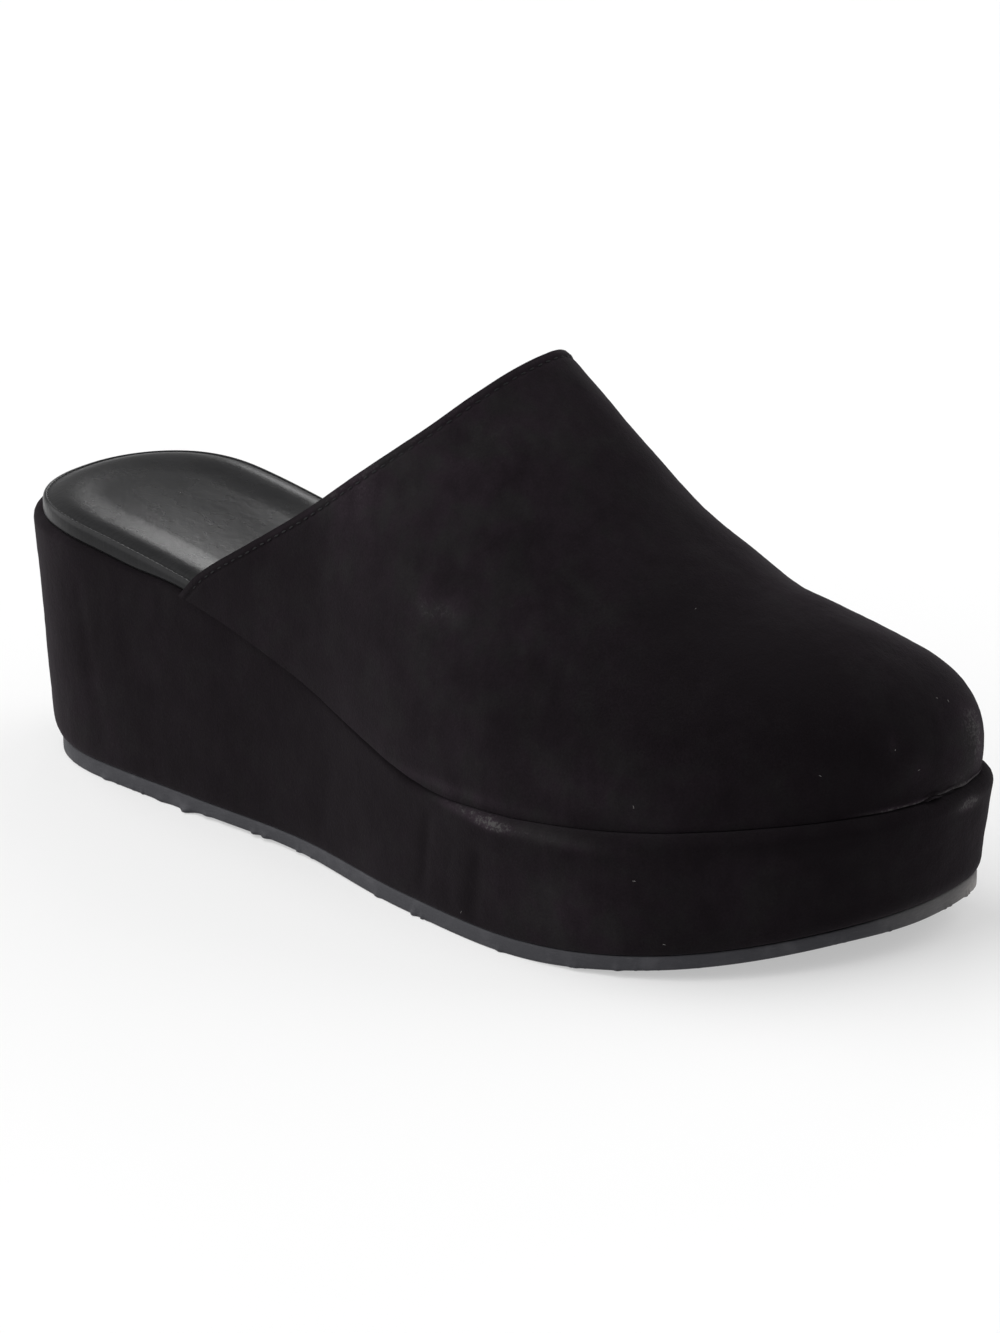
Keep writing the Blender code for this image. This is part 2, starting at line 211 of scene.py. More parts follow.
def round_sole(turns, rows):
    """A closed skin round the sole, from the middle of its underside to the middle of its top. Each row has
    an inset and a height as functions, and "across" is 1 at the edge and 0 on the sole's middle line."""
    rims = [inward(2 * math.pi * c / turns) for c in range(turns + 1)]
    edges = [edge_point(2 * math.pi * c / turns) for c in range(turns + 1)]

    def place(column, row):
        turn = 2 * math.pi * column / turns
        line = rows[row]
        spot = edges[column] + rims[column] * line["inset"](turn)
        back = turns - column
        other = edges[back] + rims[back] * line["inset"](2 * math.pi - turn)
        spot = (spot + other) / 2 + (spot - other) / 2 * line["across"]
        return Vector((spot.x, spot.y, line["height"](spot, turn)))

    return sheet_of(turns, len(rows) - 1, place)


def piece_of(name, mesh, material, node):
    """A bmesh as a smooth piece of the shoe, which stands for a node of the frame where one is given."""
    data = bpy.data.meshes.new(name)
    mesh.to_mesh(data)
    mesh.free()
    data.shade_smooth()
    data.materials.append(material)
    piece = bpy.data.objects.new(name, data)
    bpy.context.scene.collection.objects.link(piece)
    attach(piece, "root")
    if node:
        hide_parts(node)
    return piece


class Wire:
    """A socket of a material, with sums on it written as plain Python."""

    def __init__(self, tree, socket=None):
        self.tree = tree
        self.socket = socket

    def add(self, kind, settings, inputs, output=0):
        """A node of this kind, with its settings made first and then its sockets filled or linked."""
        node = self.tree.nodes.new(kind)
        for key, value in settings.items():
            setattr(node, key, value)
        for key, value in inputs.items():
            if isinstance(value, Wire):
                self.tree.links.new(value.socket, node.inputs[key])
            else:
                node.inputs[key].default_value = value
        return Wire(self.tree, node.outputs[output])

    def sum(self, operation, first, second):
        return self.add("ShaderNodeMath", {"operation": operation}, {0: first, 1: second})

    def __add__(self, other):
        return self.sum("ADD", self, other)

    def __radd__(self, other):
        return self.sum("ADD", other, self)

    def __sub__(self, other):
        return self.sum("SUBTRACT", self, other)

    def __rsub__(self, other):
        return self.sum("SUBTRACT", other, self)

    def __mul__(self, other):
        return self.sum("MULTIPLY", self, other)

    def __rmul__(self, other):
        return self.sum("MULTIPLY", other, self)

    def rise(self, start, end):
        """0 below the start, 1 above the end, and smooth between them."""
        return self.add(
            "ShaderNodeMapRange",
            {"interpolation_type": "SMOOTHSTEP"},
            {"Value": self, "From Min": start, "From Max": end},
        )

    def between(self, low, high):
        """The colour that this share of the way from low to high gives."""
        ends = [c if isinstance(c, Wire) else (*c, 1.0) for c in (low, high)]
        return self.add("ShaderNodeMix", {"data_type": "RGBA"}, {0: self, 6: ends[0], 7: ends[1]}, 2)

    def grain(self, size, detail=2.0, roughness=0.5):
        """Soft noise on these coordinates, its lumps about this size in metres."""
        values = {"Vector": self, "Scale": 1 / size, "Detail": detail, "Roughness": roughness}
        return self.add("ShaderNodeTexNoise", {}, values)

    def stretched(self, factors):
        return self.add("ShaderNodeVectorMath", {"operation": "MULTIPLY"}, {0: self, 1: factors})

    def bump(self, distance, strength):
        """This height in shares of the distance, as a surface normal."""
        values = {"Height": self, "Distance": distance, "Strength": strength}
        return self.add("ShaderNodeBump", {}, values)


def new_finish(name, constants):
    """A material whose shader has these constants. Returns it, its object coordinates and its shader node."""
    material = bpy.data.materials.new(name)
    material.use_nodes = True
    shader = material.node_tree.nodes["Principled BSDF"]
    for key, value in constants.items():
        shader.inputs[key].default_value = value
    place = Wire(material.node_tree).add("ShaderNodeTexCoord", {}, {}, 3)
    return material, place, shader


def painted(place, name):
    """The number that a piece's own vertices carry under this name."""
    return place.add("ShaderNodeAttribute", {"attribute_name": name}, {}, 2)


def wire_in(place, shader, sockets):
    for key, value in sockets.items():
        place.tree.links.new(value.socket, shader.inputs[key])


across_top = [edge_point(2 * math.pi * k / PLAN_SAMPLES).y for k in range(PLAN_SAMPLES)]
home = Vector((LENGTH / 2, (min(across_top) + max(across_top)) / 2, 0.0))


def flash(turn):
    """How far the rough edge stands out at this turn: teeth in places, and torn bits on the outer side."""
    spot = edge_point(turn)
    rough = noise.noise(Vector((spot.x, spot.y, 0.0)) * TEETH["a_metre"])
    where = Vector((spot.x, spot.y, TOOTHED_PLACES["level"])) * TOOTHED_PLACES["a_metre"]
    places = ramp(noise.noise(where), 0.0, TOOTHED_PLACES["full"])
    torn = 0.0
    for tear in TEARS if turn < math.pi else ():
        far = (spot.x - tear["along"] * LENGTH) * 1000 / tear["width"]
        torn += tear["reach"] * 0.001 * math.exp(-far * far)
    return TEETH["high"] * places * max(0.0, rough - TEETH["over"]) * TEETH["gain"] + torn


def flare(turn):
    """How far the sole spreads past its outline beside the toe's tip."""
    return FLARE["reach"] * math.exp(-(((turn - FLARE["turn"]) / FLARE["width"]) ** 2))


def paint(piece, name, number):
    """Writes a number of each vertex's own place on the piece, for its material to read."""
    layer = piece.data.attributes.new(name, "FLOAT", "POINT")
    for vert, spot in zip(piece.data.vertices, layer.data):
        spot.value = number(vert.co)


def blob(co, spot):
    """1 at the spot's own place, which is in millimetres, and falling off smoothly over its reaches."""
    far = sum(((co[i] * 1000 - spot["at"][i]) / spot["reach"][i]) ** 2 for i in range(3))
    return math.exp(-far)


def patches_of(patches):
    """A function of a place, in metres, that adds up these patches of lighter and darker surface."""
    return lambda co: sum(patch["light"] * blob(co, patch) for patch in patches)


def sole_row(share, inset, across=1.0, rough=0.0):
    """A row of the outsole: its height as a share from underside to top, and its inset from the outline."""

    def moved_in(turn):
        return foot_inset(turn) + inset - flare(turn) - (flash(turn) if rough else 0.0) * rough

    def height(spot, turn):
        along = spot.x / LENGTH
        bend = ramp(along, TOE_BEND["from"], TOE_BEND["to"])
        bend -= TOE_BEND["drop"] * ramp(along, TOE_BEND["drop_from"], 1.0)
        low = floor_height(spot.x) + TOE_BEND["lift"] * bend
        return low + (outsole_top(spot.x) - low) * share

    return {"inset": moved_in, "height": height, "across": across}


sole_rows = [
    sole_row(0.0, 0.0010, 0.0),
    sole_row(0.0, 0.0010, 0.5),
    sole_row(0.0, 0.0010),
    sole_row(0.0, OUTSOLE_CHAMFER, rough=0.9),
    sole_row(0.08, 0.00004, rough=1.0),
    sole_row(0.25, 0.0, rough=0.35),
    sole_row(0.55, 0.0),
    sole_row(0.88, 0.0),
    sole_row(0.97, 0.00012),
    sole_row(1.0, 0.0004),
    sole_row(1.0, 0.0004, 0.5),
    sole_row(1.0, 0.0004, 0.0),
]
rubber, place, shader = new_finish("sole_rubber", {"Metallic": 0.0, "Specular IOR Level": 0.35})
dust = place.grain(0.006, 4.0, 0.6).rise(0.45, 0.75)
crumb = place.grain(0.0005, 2.0, 0.6)
scuffs = place.stretched((1.0, 1.0, 6.0)).grain(0.0022, 3.0, 0.7)
tread = place.stretched((1.0, 0.12, 0.0)).grain(0.0016, 1.0, 0.4)
dusty = (dust * 0.6 + scuffs.rise(0.52, 0.8) * 0.6).between(RUBBER, RUBBER_DUSTY)
wire_in(
    place,
    shader,
    {
        "Base Color": (painted(place, "worn") * (0.4 + 1.1 * scuffs)).between(dusty, RUBBER_PALE),
        "Roughness": 0.62 + 0.2 * scuffs,
        "Normal": (crumb * 0.35 + scuffs * 0.4 + tread * 0.25).bump(0.0004, 0.55),
    },
)
sole = piece_of("sole", round_sole(SOLE_TURNS, sole_rows), rubber, "outsole")
paint(sole, "worn", patches_of(SOLE_WORN))


# Wedge: a light block of heel, waist and platform in one, wrapped in black suede that is turned under at its
# foot and over at its top. The nap is crushed in upright streaks, the platform's edge is rubbed pale, and
# along the toe its rounded top edge has painted shade.
GAP = 0.0003
FOLD_HEIGHT = 0.0050
EDGE_RADIUS = 0.0030
RIM_PRESS = 0.0012
WEDGE_TURNS = 800
# The rows of the cover: round its fold, up its wall, over its edge, and in across its top.
FOLD_STEPS = 6
FOLD_TAUT_STEPS = 3
WALL_STEPS = 26
EDGE_STEPS = 6
TOP_STEPS = 4
TOP_STEP = 0.0014
# The suede's own unevenness: how many waves a metre, and how deep.
SUEDE_WAVES = ((70, 0.00022), (220, 0.00007), (620, 0.00005))
SUEDE = (0.0038, 0.0027, 0.0035)
SUEDE_PLUM = (0.0206, 0.0150, 0.0196)
SUEDE_GREY = (0.0184, 0.0172, 0.0180)
# The scuffs' pale colour, which the strongest painted highlights also take.
SUEDE_SCUFF_AND_HIGHLIGHT = (0.0480, 0.0455, 0.0460)
# Where the nap of the wedge is lighter or darker, in millimetres: a place, a reach along each axis, and how
# much. The one along the toe's rounded top edge is painted shade.
WEDGE_NAP_AND_PAINTED_SHADE = (
    {"at": (38.0, -46.0, 30.5), "reach": (13.0, 6.0, 1.2), "light": 0.95},
    {"at": (47.0, -47.0, 29.6), "reach": (5.0, 6.0, 1.1), "light": 1.20},
    {"at": (62.0, -45.5, 30.4), "reach": (17.0, 6.0, 1.4), "light": 0.60},
    {"at": (25.5, -44.0, 19.0), "reach": (1.6, 6.0, 8.5), "light": -0.35},
    {"at": (29.5, -45.0, 20.0), "reach": (2.2, 6.0, 9.0), "light": 0.10},
    {"at": (35.0, -45.5, 17.0), "reach": (15.0, 8.0, 14.0), "light": -0.20},
    {"at": (41.5, -46.3, 13.0), "reach": (2.4, 6.0, 7.5), "light": -0.40},
    {"at": (48.0, -46.5, 16.0), "reach": (3.0, 6.0, 8.0), "light": 0.10},
    {"at": (-92.5, -30.5, 38.0), "reach": (2.0, 6.0, 16.0), "light": 0.12},
    {"at": (-88.0, -30.5, 30.0), "reach": (2.6, 6.0, 7.0), "light": 0.14},
    {"at": (-92.0, -30.0, 42.0), "reach": (13.0, 9.0, 16.0), "light": -0.18},
    {"at": (-104.0, -26.0, 30.0), "reach": (9.0, 9.0, 26.0), "light": 0.04},
    {"at": (-20.0, -34.0, 24.0), "reach": (28.0, 9.0, 22.0), "light": -0.22},
    {"at": (4.0, -38.0, 28.0), "reach": (15.0, 9.0, 15.0), "light": -0.26},
    # Painted shade: this darkens the rounded top edge along the toe, where it is lit from above.
    {"at": (108.0, -12.0, 32.0), "reach": (26.0, 22.0, 2.4), "light": -0.40},
    {"at": (125.0, 24.0, 32.8), "reach": (3.0, 5.0, 1.5), "light": 1.70},
    {"at": (123.0, 12.0, 20.0), "reach": (10.0, 16.0, 12.0), "light": 0.12},
    {"at": (68.0, -44.0, 14.0), "reach": (22.0, 10.0, 12.0), "light": 0.46},
    {"at": (100.0, -28.0, 20.0), "reach": (16.0, 14.0, 16.0), "light": 0.12},
)
# Upright troughs crushed into the wedge's side, in millimetres.
WEDGE_TROUGHS = (
    {"x": 25.0, "slant": 0.10, "low": 8.0, "high": 26.0, "width": 1.8, "depth": 0.30},
    {"x": 41.0, "slant": 0.16, "low": 5.0, "high": 22.0, "width": 2.2, "depth": 0.34},
    {"x": 33.5, "slant": 0.05, "low": 6.0, "high": 20.0, "width": 1.6, "depth": 0.14},
    {"x": -90.0, "slant": -0.12, "low": 22.0, "high": 48.0, "width": 2.2, "depth": 0.20},
    {"x": -12.0, "slant": 0.10, "low": 8.0, "high": 30.0, "width": 3.0, "depth": 0.16},
)
TROUGH_FADE = 3


def top_height(x):
    rise = read(RISE, "along", "rise", x / LENGTH)
    return PLATFORM_HEIGHT + rise * (HEEL_HEIGHT - PLATFORM_HEIGHT)


def pressed_top(x):
    """The cover's own top, which is pressed down a little under the footbed's rim beside the heel."""
    along = x / LENGTH
    return top_height(x) - RIM_PRESS * ramp(along, 0.01, 0.05) * (1 - ramp(along, 0.19, 0.26))


def crushed(x, z):
    """How deep the suede is pressed in at a length and height of the wedge's wall."""
    deep = 0.0
    for trough in WEDGE_TROUGHS:
        middle = trough["x"] + trough["slant"] * (z * 1000 - trough["low"])
        across = ((x - home.x) * 1000 - middle) / trough["width"]
        high = z * 1000
        ends = ramp(high, trough["low"] - TROUGH_FADE, trough["low"] + TROUGH_FADE)
        ends -= ramp(high, trough["high"] - TROUGH_FADE, trough["high"] + TROUGH_FADE)
        deep += trough["depth"] * 0.001 * math.exp(-across * across) * ends
    return deep


def uneven(turn, z):
    """The suede's own small waves, and its troughs on the outer side."""
    spot = edge_point(turn)
    place = Vector((spot.x, spot.y, z))
    wave = sum(noise.noise(place * size) * depth for size, depth in SUEDE_WAVES)
    return wave + (crushed(spot.x, z) if turn < math.pi else 0.0)


def wedge_row(inset, height, across=1.0, loose=0.0):
    """A row of the wedge's cover. loose is how much of the suede's unevenness it has."""

    def moved_in(turn):
        return inset(turn) + (uneven(turn, height(edge_point(turn), turn)) * loose if loose else 0.0)

    return {"inset": moved_in, "height": height, "across": across}


def wedge_foot(x):
    return outsole_top(x) + GAP


wedge_rows = [
    wedge_row(foot_inset, lambda spot, t: wedge_foot(spot.x), 0.0),
    wedge_row(foot_inset, lambda spot, t: wedge_foot(spot.x), 0.6),
]
for k in range(FOLD_STEPS + 1):
    bend = math.pi / 2 * k / FOLD_STEPS
    wedge_rows.append(
        wedge_row(
            lambda t, i=1 - math.sin(bend): wall("lean", UNDERCUT, t) + wall("tuck", TUCK, t) * i,
            lambda spot, t, r=1 - math.cos(bend): wedge_foot(spot.x) + FOLD_HEIGHT * r,
            loose=min(1.0, k / FOLD_TAUT_STEPS),
        )
    )
for k in range(1, WALL_STEPS):
    wedge_rows.append(
        wedge_row(
            lambda t, s=k / WALL_STEPS: wall("lean", UNDERCUT, t) * (1 - s),
            lambda spot, t, s=k / WALL_STEPS: (wedge_foot(spot.x) + FOLD_HEIGHT) * (1 - s)
            + (pressed_top(spot.x) - wall("edge", EDGE_RADIUS, t)) * s,
            loose=1.0,
        )
    )
for k in range(EDGE_STEPS + 1):
    bend = math.pi / 2 * k / EDGE_STEPS
    wedge_rows.append(
        wedge_row(
            lambda t, i=1 - math.cos(bend): wall("edge", EDGE_RADIUS, t) * i,
            lambda spot, t, d=1 - math.sin(bend): pressed_top(spot.x) - wall("edge", EDGE_RADIUS, t) * d,
            loose=0.8,
        )
    )
for k in range(1, TOP_STEPS + 1):
    wedge_rows.append(
        wedge_row(
            lambda t, k=k: wall("edge", EDGE_RADIUS, t) + TOP_STEP * k,
            lambda spot, t: pressed_top(spot.x),
            loose=0.4,
        )
    )
for share in (0.75, 0.5, 0.25, 0.0):
    wedge_rows.append(
        wedge_row(
            lambda t: wall("edge", EDGE_RADIUS, t) + TOP_STEP * TOP_STEPS,
            lambda spot, t: pressed_top(spot.x),
            share,
        )
    )


def suede_finish(name):
    """Black suede: nearly no gloss, a short nap that catches light at its edges, and cloudy from brushing.
    The piece's painted numbers add its lighter, darker and scuffed places, and painted light and shade.
    """
    constants = {
        "Metallic": 0.0,
        "Specular IOR Level": 0.04,
        "Sheen Weight": 0.042,
        "Sheen Roughness": 0.50,
        "Sheen Tint": (0.97, 0.86, 0.96, 1.0),
    }
    suede, place, shader = new_finish(name, constants)
    clouds = place.grain(0.022, 3.0, 0.55)
    blots = place.grain(0.0085, 3.0, 0.55)
    strokes = place.stretched((1.0, 1.0, 0.45)).grain(0.0045, 3.0, 0.6)
    hairs = place.grain(0.00045, 2.0, 0.65)
    fluff = place.grain(0.0011, 2.0, 0.6)
    shade = (clouds - 0.5) * 0.60 + (blots - 0.5) * 0.40
    shade = shade + (strokes - 0.5) * 0.35 + (hairs - 0.5) * 0.50 + 0.05
    flecks = place.grain(0.0009, 3.0, 0.75).rise(0.40, 0.64)
    # The painted numbers hold the nap's lighter, darker and rubbed places, and painted light and shade: a
    # highlight along the upper's lip, light and sheen on the vamp's top, and shade along the wedge's top edge
    # at the toe.
    rubbed_and_painted_light = painted(place, "nap_and_painted_light") * (0.55 + 0.5 * strokes)
    # Strong scuffs go over to the scuff colour, and so do the strongest painted highlights, such as the toe's
    # lip.
    scuffs_and_painted_highlights = (rubbed_and_painted_light * (0.55 + 0.9 * flecks) - 0.55).rise(0.0, 0.9)
    pale = blots.rise(0.40, 0.64).between(SUEDE_PLUM, SUEDE_GREY)
    brushed_and_painted_light = (shade + rubbed_and_painted_light).rise(-0.25, 1.25).between(SUEDE, pale)
    wire_in(
        place,
        shader,
        {
            "Base Color": scuffs_and_painted_highlights.between(brushed_and_painted_light, SUEDE_SCUFF_AND_HIGHLIGHT),
            "Roughness": 0.94 - 0.08 * hairs,
            "Normal": (hairs * 0.45 + fluff * 0.40 + strokes * 0.15).bump(0.0006, 0.32),
        },
    )
    return suede


wedge = piece_of(
    "wedge_cover", round_sole(WEDGE_TURNS, wedge_rows), suede_finish("wedge_nap"), "wedge"
)
paint(wedge, "nap_and_painted_light", patches_of(WEDGE_NAP_AND_PAINTED_SHADE))


# Footbed: smooth black leather over thin padding, glued on the wedge. A rolled rim goes round it, sewn down
# along a crease, and inside the crease the padding swells and then dips under the heel.
LEDGE = 0.0040
OVERHANG = 0.0020
UPPER_WALL = 0.0020
INSOLE_THICKNESS = 0.0034
INSOLE_INSET = 0.0030
INSOLE_CLEARANCE = 0.0005
BOWL = {"centre": 0.038, "back": 0.040, "front": 0.085, "edge": 0.0015, "deep": 0.0013}
# The top swells at the heel, and sags at the inner side in front of it, by shares of the shoe's length.
HEEL_SWELL = {"up": 0.0006, "from": 0.02, "to": 0.34}
INNER_SAG = {"down": 0.0009, "from": 0.10, "to": 0.26, "off": 0.2}
FOOTBED_TURNS = 460
CREASE_AT = 0.00115
CREASE_DOWN = 0.00088
CREASE_POINTS = 1200
LEATHER = (0.0060, 0.0060, 0.0066)
LEATHER_DRY = (0.0150, 0.0150, 0.0160)
LEDGES = (
    {"along": 0.00, "ledge": -1.00},
    {"along": 0.34, "ledge": -1.00},
    {"along": 0.42, "ledge": -0.70},
    {"along": 0.50, "ledge": -0.35},
    {"along": 0.60, "ledge": 0.10},
    {"along": 0.67, "ledge": 0.55},
    {"along": 0.75, "ledge": 0.90},
    {"along": 1.00, "ledge": 0.65},
)
# The footbed's top from its edge inwards, in millimetres: how far in, and how far below full height.
FOOTBED_EDGE = (
    {"in": 0.0, "down": 2.05},
    {"in": 0.10, "down": 1.47},
    {"in": 0.30, "down": 1.02},
    {"in": 0.60, "down": 0.76},
    {"in": 0.90, "down": 0.70},
    {"in": 1.15, "down": 0.90},
    {"in": 1.45, "down": 0.84},
    {"in": 2.00, "down": 0.62},
    {"in": 2.80, "down": 0.32},
    {"in": 3.80, "down": 0.02},
    {"in": 5.00, "down": -0.20},
    {"in": 6.20, "down": -0.28},
    {"in": 8.00, "down": -0.24},
    {"in": 10.0, "down": -0.08},
    {"in": 12.5, "down": 0.12},
    {"in": 15.0, "down": 0.22},
)
FOOTBED_MIDDLE_ROWS = 22


def feather_inset(turn):
    ledge = read(LEDGES, "along", "ledge", along_of(turn))
    return ledge * (LEDGE if ledge > 0 else OVERHANG)


def footbed_inset(turn):
    return max(wall("insole", INSOLE_INSET, turn), feather_inset(turn) + UPPER_WALL + INSOLE_CLEARANCE)


def footbed_top(spot, down):
    """Height of the footbed's top at a place: its full height less this drop and the bowl at the heel."""
    along = min(max(spot.x / LENGTH, 0.0), 1.0)
    half = read(PLAN, "along", "half", along) * BALL_WIDTH - BOWL["edge"]
    off = (spot.y - read(PLAN, "along", "swing", along) * BALL_WIDTH) / half
    reach = BOWL["back"] if spot.x < BOWL["centre"] else BOWL["front"]
    far = ((spot.x - BOWL["centre"]) / reach) ** 2 + off * off
    swell = HEEL_SWELL["up"] * (1 - ramp(along, HEEL_SWELL["from"], HEEL_SWELL["to"]))
    sag = INNER_SAG["down"] * ramp(along, INNER_SAG["from"], INNER_SAG["to"])
    sag *= ramp(off, INNER_SAG["off"], 1.0)
    bowl = BOWL["deep"] * max(0.0, 1 - far)
    return top_height(spot.x) + GAP + INSOLE_THICKNESS - down - bowl + (swell - sag)


def footbed_row(inset, height, across=1.0):
    return {"inset": lambda t: footbed_inset(t) + inset, "height": height, "across": across}


footbed_rows = [
    footbed_row(0.0006, lambda spot, t: pressed_top(spot.x) + GAP, 0.0),
    footbed_row(0.0006, lambda spot, t: pressed_top(spot.x) + GAP),
    footbed_row(0.0001, lambda spot, t: pressed_top(spot.x) + GAP + 0.0004),
    footbed_row(0.0, lambda spot, t: pressed_top(spot.x) + GAP + 0.0010),
]
for step in FOOTBED_EDGE:
    footbed_rows.append(
        footbed_row(step["in"] * 0.001, lambda spot, t, d=step["down"]: footbed_top(spot, d * 0.001))
    )
last = FOOTBED_EDGE[-1]
for k in range(1, FOOTBED_MIDDLE_ROWS + 1):
    footbed_rows.append(
        footbed_row(
            last["in"] * 0.001,
            lambda spot, t: footbed_top(spot, last["down"] * 0.001),
            1 - k / FOOTBED_MIDDLE_ROWS,
        )
    )


def away_from(points):
    """A function that gives how far a place lies from the nearest of these points."""
    tree = kdtree.KDTree(len(points))
    for index, point in enumerate(points):
        tree.insert(point, index)
    tree.balance()
    return lambda co: tree.find(co)[2]


leather, place, shader = new_finish("footbed_leather", {"Metallic": 0.0, "Specular IOR Level": 0.13})
pores = place.grain(0.0005, 2.0, 0.6)
wrinkles = place.grain(0.0022, 3.0, 0.6)
rubs = place.grain(0.012, 3.0, 0.55)
pulls = place.stretched((1.0, 0.16, 0.0)).grain(0.0009, 2.0, 0.6)
at_seam = 1 - painted(place, "seam").rise(0.0008, 0.0060)
dry = (rubs.rise(0.4, 0.8) * 0.5).between(LEATHER, LEATHER_DRY)
wire_in(
    place,
    shader,
    {
        "Base Color": dry,
        "Roughness": 0.27 + 0.12 * (rubs - 0.5) + 0.05 * at_seam,
        "Normal": (pores * 0.16 + wrinkles * 0.55 + pulls * at_seam * 0.8).bump(0.00018, 0.50),
    },
)
footbed = piece_of("footbed", round_sole(FOOTBED_TURNS, footbed_rows), leather, "insole")
crease_line = []
for k in range(CREASE_POINTS):
    turn = 2 * math.pi * k / CREASE_POINTS
    spot = edge_point(turn) + inward(turn) * (footbed_inset(turn) + CREASE_AT)
    crease_line.append(Vector((spot.x, spot.y, footbed_top(spot, CREASE_DOWN))) - home)
paint(footbed, "seam", away_from(crease_line))


# Footbed stitches: a fine black thread sewn through the crease inside the rim. Each stitch is a short raised
# loop of thread that leans a little.
THREAD_DARK = (0.0100, 0.0100, 0.0112)
THREAD_BLACK = (0.0160, 0.0160, 0.0172)
FINE_STITCH = {"pitch": 0.0016, "length": 0.0011, "radius": 0.00015}
SEWN_TO = 0.34
STITCH_LEAN = 0.10
# An angle in radians whose multiples never repeat, for small things that shouldn't lie alike.
ODD_TURN = 2.4


def walk(points, pitch):
    """Places one pitch apart along a line of (place, up) pairs, each with its direction and its up."""
    spots, left = [], pitch / 2
    for (start, up), (end, _) in zip(points, points[1:]):
        run = (end - start).length
        while left < run:
            spots.append((start.lerp(end, left / run), (end - start).normalized(), up))
            left += pitch
        left -= run
    return spots


def sewn(name, spots, size, material):
    """Stitches as one mesh: a small ball for each, stretched along the seam and set in the surface."""
    mesh = bmesh.new()
    for index, (centre, ahead, up) in enumerate(spots):
        side = up.cross(ahead).normalized()
        lean = STITCH_LEAN * math.sin(index * ODD_TURN)
        ahead = (ahead + side * lean).normalized()
        side = up.cross(ahead).normalized()
        turn = Matrix((ahead, side, ahead.cross(side))).transposed().to_4x4()
        grow = Matrix.Diagonal((size["length"] / 2, size["radius"], size["radius"], 1.0))
        bmesh.ops.create_uvsphere(
            mesh, u_segments=8, v_segments=6, radius=1.0, matrix=Matrix.Translation(centre) @ turn @ grow
        )
    return piece_of(name, mesh, material, None)


thread, place, shader = new_finish(
    "thread_black", {"Metallic": 0.0, "Specular IOR Level": 0.14, "Roughness": 0.70}
)
twist = place.grain(0.0003, 1.0, 0.5)
wire_in(
    place,
    shader,
    {
        "Base Color": twist.rise(0.3, 0.7).between(THREAD_DARK, THREAD_BLACK),
        "Normal": twist.bump(0.0001, 0.5),
    },
)
toe_end = LENGTH * SEWN_TO - home.x
from_toe = crease_line[CREASE_POINTS // 2 :] + crease_line[: CREASE_POINTS // 2]
seam_line = [(p, Vector((0.0, 0.0, 1.0))) for p in from_toe if p.x < toe_end]
sewn("footbed_stitches", walk(seam_line, FINE_STITCH["pitch"]), FINE_STITCH, thread)


# Upper: one vamp of black suede, blocked over the last. Its topline is turned in and stitched, and its lower
# edge is turned under on the wedge, where it leaves a dark line. The nap is cloudy, and rubbed at the toe. A
# painted highlight runs along the lower edge's lip, and the vamp's top and peak are painted lighter for light
# from above and for sheen.
SUEDE_THICKNESS = 0.0012
BULGE = 0.0022
PEAK_ALONG = 0.1440
PEAK_HEIGHT = 0.1190
CORNER_ALONG = 0.0670
TOE_BOX_HEIGHT = 0.0310
TOE_BOX_DEPTH = 0.0270
FAN_START = 0.60
TOPLINE_SEARCH = {"from": 0.15, "to": 0.80, "halvings": 34}
CROWN = (
    {"along": 0.25, "height": 2.20, "side": 0.020, "square": 1.80},
    {"along": 0.45, "height": 1.48, "side": 0.045, "square": 1.80},
    {"along": 0.58, "height": 0.985, "side": 0.075, "square": 1.80},
    {"along": 0.65, "height": 0.70, "side": 0.090, "square": 1.85},
    {"along": 0.72, "height": 0.43, "side": 0.105, "square": 1.95},
    {"along": 0.80, "height": 0.225, "side": 0.125, "square": 2.15},
    {"along": 0.88, "height": 0.125, "side": 0.155, "square": 2.50},
    {"along": 1.00, "height": 0.04, "side": 0.210, "square": 2.60},
)
TOPLINE = (
    {"up": 0.00, "forward": 0.00},
    {"up": 0.12, "forward": 0.10},
    {"up": 0.28, "forward": 0.295},
    {"up": 0.45, "forward": 0.50},
    {"up": 0.62, "forward": 0.68},
    {"up": 0.80, "forward": 0.86},
    {"up": 0.92, "forward": 0.95},
    {"up": 1.00, "forward": 1.00},
)
UPPER_ROWS = 90
UPPER_COLUMNS = 170
# The first lines of the upper's grid from its lower edge lie close together, and so do those from its
# topline, so that the turned edges and the seam's furrow show.
EDGE_LIFTS = (0.0, 0.0015, 0.0035, 0.006, 0.009, 0.013)
EDGE_COLUMNS = (0.0, 0.0005, 0.0009, 0.0013, 0.0016, 0.0019, 0.0022, 0.0025, 0.0029, 0.0035, 0.0043, 0.0054)
SEAM = {"at": 0.0019, "width": 0.0005, "deep": 0.00026}
TOPLINE_ROLL = {"at": 0.0010, "width": 0.0006, "out": 0.00012, "light": 0.26}
# LIP's light is a painted highlight along the lip at the toe, where the lower edge curls out.
LIP = {"at": 0.0004, "width": 0.00050, "out": 0.00035, "light": 2.2, "from": 0.945, "to": 1.0}
LIP_WAVE = {"high": 0.0013, "level": 0.4, "a_metre": 210}
TURNED_EDGE = {"width": 0.0005, "segments": 3, "angle": 55}
TOPLINE_POINTS = 400
FOOT_POINTS = 1100
